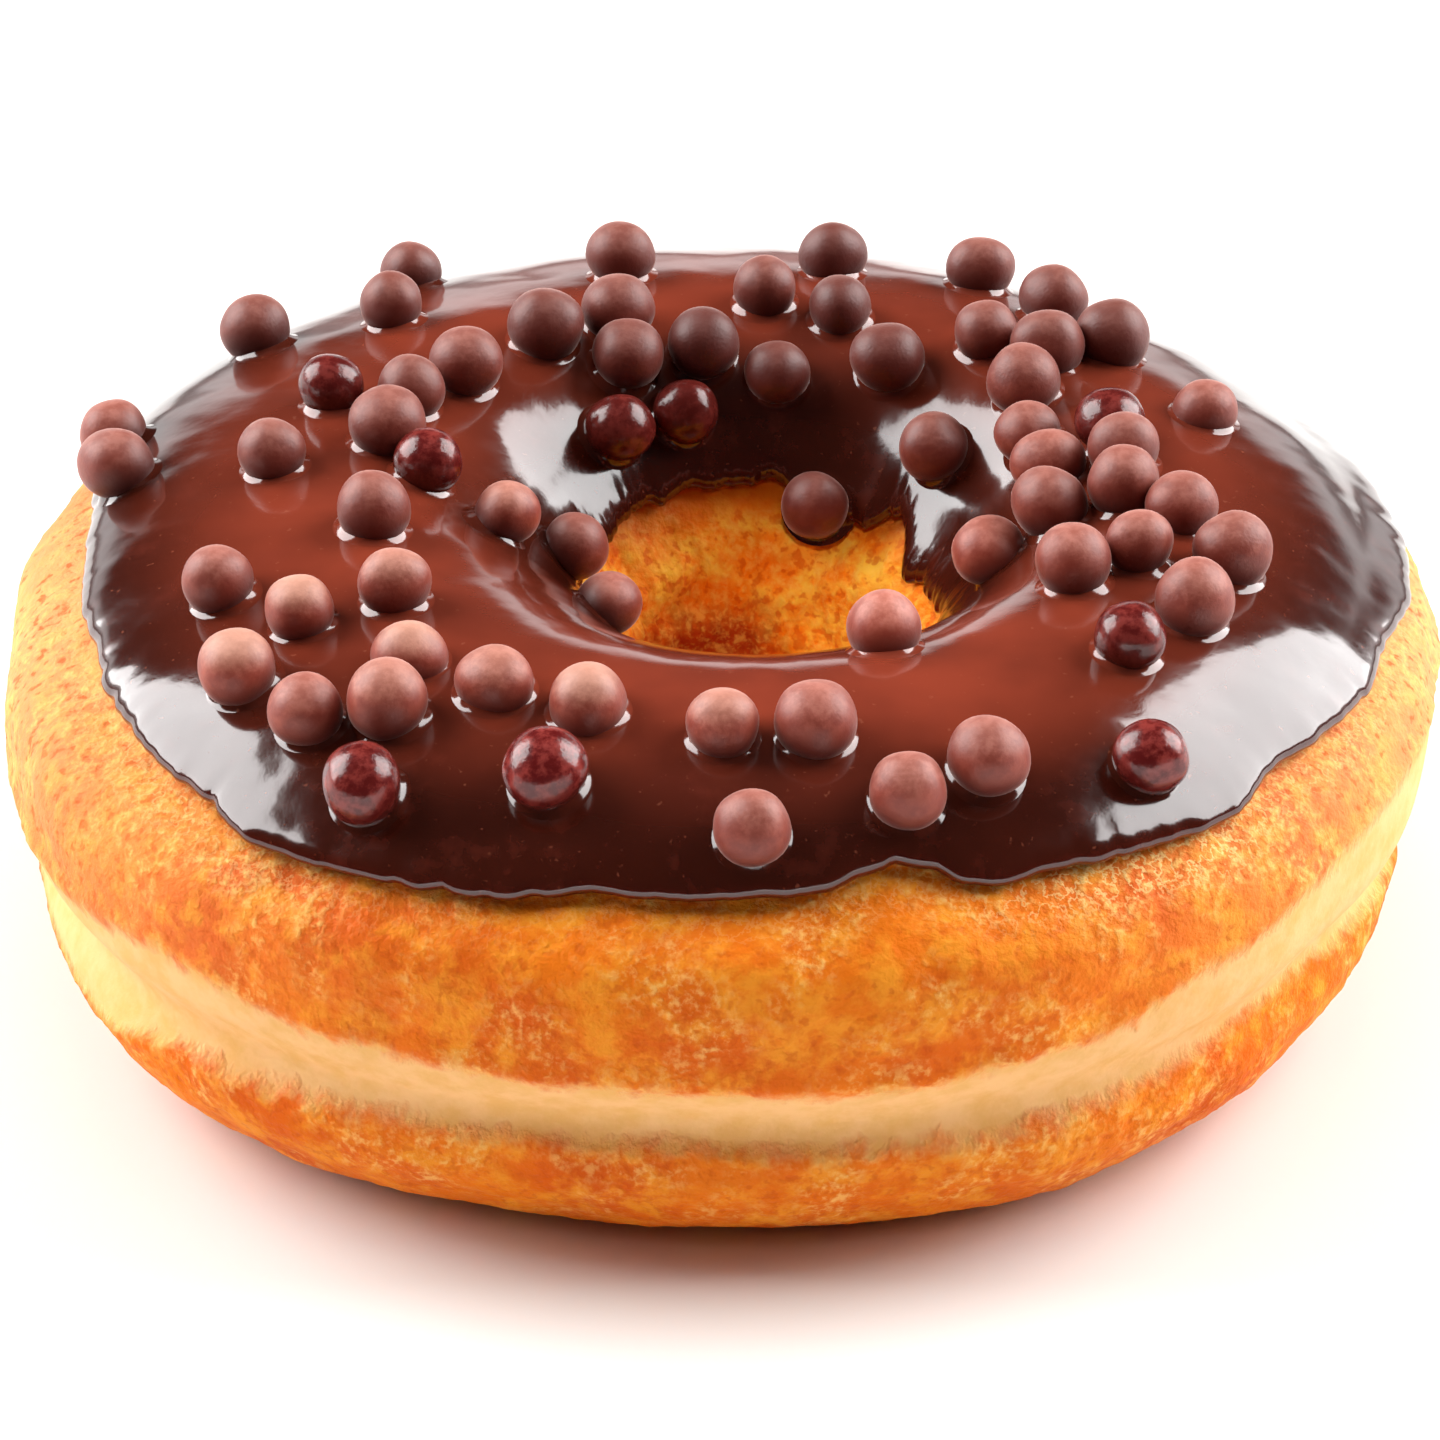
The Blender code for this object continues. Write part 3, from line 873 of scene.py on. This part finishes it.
def makeBalls(name, balls, kind):
    piece = crunchBalls
    mesh = bmesh.new()
    tintAndShades = mesh.verts.layers.float.new("tintAndShade")
    footShades = mesh.verts.layers.float.new("footShade")
    litTops = mesh.verts.layers.float.new("litTop")
    chance = random.Random(piece["seed"] + len(balls))
    for key, bearing, lean, radius in balls:
        made = bmesh.ops.create_icosphere(mesh, subdivisions=piece["subdivisions"], radius=radius)["verts"]
        squash = [1 + chance.uniform(-piece["unround"], piece["unround"]) for _ in range(3)]
        bmesh.ops.scale(mesh, verts=made, vec=squash)
        bmesh.ops.rotate(mesh, verts=made, matrix=Matrix.Rotation(chance.uniform(0, math.tau), 3, "Z"))
        # painted shade grows towards the back
        atSide, behind = piece["shadeBehind"]
        backward = smoothStep(math.sin(math.radians(bearing)) * behind + atSide)
        tintAndShade = piece["tintByChance"] * chance.random() + (1 - piece["tintByChance"]) * backward
        apart = Vector((chance.uniform(0, piece["lumpsApart"]), 0, 0))
        for vertex in made:
            lump = noise.noise(vertex.co / piece["lumpSize"] + apart) * piece["lump"]
            vertex.co += vertex.co.normalized() * lump
        centre, down = ballCentre(key, bearing, lean, radius)
        for vertex in made:
            vertex[tintAndShades] = tintAndShade
            vertex[footShades] = down.dot(vertex.co) / radius  # 1 at the ball's foot, -1 on its top: where the painted shade at the foot goes
            vertex[litTops] = vertex.co.z / radius  # painted highlight: paler on top, where the light falls from above
        bmesh.ops.translate(mesh, verts=made, vec=centre)
    return finished(mesh, name, makeFinishOfBalls(name + "_finish", kind), "chocolate_icing")


# Stage: pale floor, softboxes on both sides and a bright horizon
studio = {
    "floorSize": 3.0,
    "floorColour": (244, 243, 241),
    "middle": (0, 0, 0.02),
    "boxes": (  # name, place, size across and up, watts, seen in the gloss
        ("left_softbox", (-0.80, 0.27, 0.54), (0.85, 0.85), 19, True),
        ("right_softbox", (0.80, 0.27, 0.54), (0.85, 0.85), 19, True),
        ("overhead_fill", (0.0, 0.1, 1.2), (0.7, 0.7), 3, False),
        ("front_fill", (0.0, -1.0, 1.1), (0.6, 0.4), 0.25, False),
    ),
    "bounce": {"place": (0, -0.42, 0.35), "size": (0.6, 0.25), "watts": 2.0, "spread": 80},
    "cone": {  # narrow light into the hole
        "place": (0.004, -0.38, 0.40), "aim": (0.008, 0.006, 0.014),
        "watts": 7.0, "angle": 3.2, "radius": 0.006,
    },
}

horizon = {  # fades go by a direction's height, or by how far back it points, each from -1 to 1
    "ambient": 0.02,
    "glow": 1.2,  # strip above the horizon behind the ring
    "glowFromFoot": (0.02, 0.1),
    "glowFromTop": (0.28, 0.16),
    "glowBack": (0.3, 0.7),
    "haze": 0.3,  # low over the horizon, fading towards the front
    "hazeFromTop": (0.22, 0.0),
    "hazeBack": (-0.4, 0.3),
}


def makeFloor():
    mesh = bmesh.new()
    bmesh.ops.create_grid(mesh, x_segments=2, y_segments=2, size=studio["floorSize"] / 2)
    data = bpy.data.meshes.new("pale_floor")
    mesh.to_mesh(data)
    mesh.free()
    finish = Finish("pale_floor", {"Base Color": linear(*studio["floorColour"]), "Roughness": 0.9})
    data.materials.append(finish.material)
    floor = bpy.data.objects.new("pale_floor", data)
    scene.collection.objects.link(floor)


def areaLight(name, size, watts):
    light = bpy.data.lights.new(name, "AREA")
    light.shape = "RECTANGLE"
    light.size, light.size_y = size
    light.energy = watts
    return light


def hang(light, place, aim, glossy):  # with no aim it shines straight down
    lamp = bpy.data.objects.new(light.name, light)
    lamp.location = place
    if aim:
        lamp.rotation_euler = (Vector(aim) - lamp.location).to_track_quat("-Z", "Y").to_euler()
    lamp.visible_glossy = glossy
    scene.collection.objects.link(lamp)


def makeLights():
    for name, place, size, watts, glossy in studio["boxes"]:
        hang(areaLight(name, size, watts), place, studio["middle"], glossy)
    bounce = studio["bounce"]
    light = areaLight("floor_bounce", bounce["size"], bounce["watts"])
    light.spread = math.radians(bounce["spread"])
    hang(light, bounce["place"], None, False)
    cone = studio["cone"]
    light = bpy.data.lights.new("hole_cone", "SPOT")
    light.energy = cone["watts"]
    light.spot_size = math.radians(cone["angle"])
    light.spot_blend = 1.0
    light.shadow_soft_size = cone["radius"]
    hang(light, cone["place"], cone["aim"], False)


def makeSky():
    world = bpy.data.worlds.new("studio")
    world.use_nodes = True
    sky = Weave(world.node_tree)
    way = sky.node("ShaderNodeTexCoord", {}, {}, "Generated")
    up = sky.node("ShaderNodeSeparateXYZ", {}, {"Vector": way}, "Z")
    back = sky.node("ShaderNodeSeparateXYZ", {}, {"Vector": way}, "Y")
    strip = sky.between(up, *horizon["glowFromFoot"]) * sky.between(up, *horizon["glowFromTop"])
    strip *= sky.between(back, *horizon["glowBack"])
    haze = sky.between(up, *horizon["hazeFromTop"]) * sky.between(back, *horizon["hazeBack"])
    level = horizon["ambient"] + strip * horizon["glow"] + haze * horizon["haze"]
    sky.tree.links.new(level.socket, world.node_tree.nodes["Background"].inputs["Color"])
    scene.world = world


# Camera, as in the photo
view = {
    "elevation": 30,
    "distance": 385 * mm,
    "targetHeight": 18 * mm,
    "focalPixels": 5946.4,
    "framePixels": 1440,
    "targetPixel": (714.9, 674.0),
    "sensor": 36.0,
}


def makeCamera():
    lens = bpy.data.cameras.new("photo_view")
    lens.sensor_width = view["sensor"]
    lens.lens = view["sensor"] * view["focalPixels"] / view["framePixels"]
    camera = bpy.data.objects.new("photo_view", lens)
    tip = math.radians(view["elevation"])
    target = toFrame + Vector((0, 0, view["targetHeight"]))
    camera.location = target + Vector((0, -math.cos(tip), math.sin(tip))) * view["distance"]
    half = view["framePixels"] / 2
    lower = math.atan((half - view["targetPixel"][1]) / view["focalPixels"])
    aside = math.atan((half - view["targetPixel"][0]) / view["focalPixels"])
    camera.rotation_euler = (math.radians(90) - tip - lower, 0, -aside / math.cos(tip))
    scene.collection.objects.link(camera)
    scene.camera = camera


def main():
    scene.view_settings.view_transform = "Standard"
    makeCamera()
    makeFloor()
    makeLights()
    makeSky()
    print("stage is set")
    balls = list(ballPlaces())
    wet = [ball for ball in balls if ball[0] in crunchBalls["wet"]]
    matt = [ball for ball in balls if ball[0] not in crunchBalls["wet"]]
    makeDoughRing()
    makeIcing()
    makeCollars(balls)
    makeBalls("crunch_balls", matt, "matt")
    makeBalls("wet_crunch_balls", wet, "wet")


main()
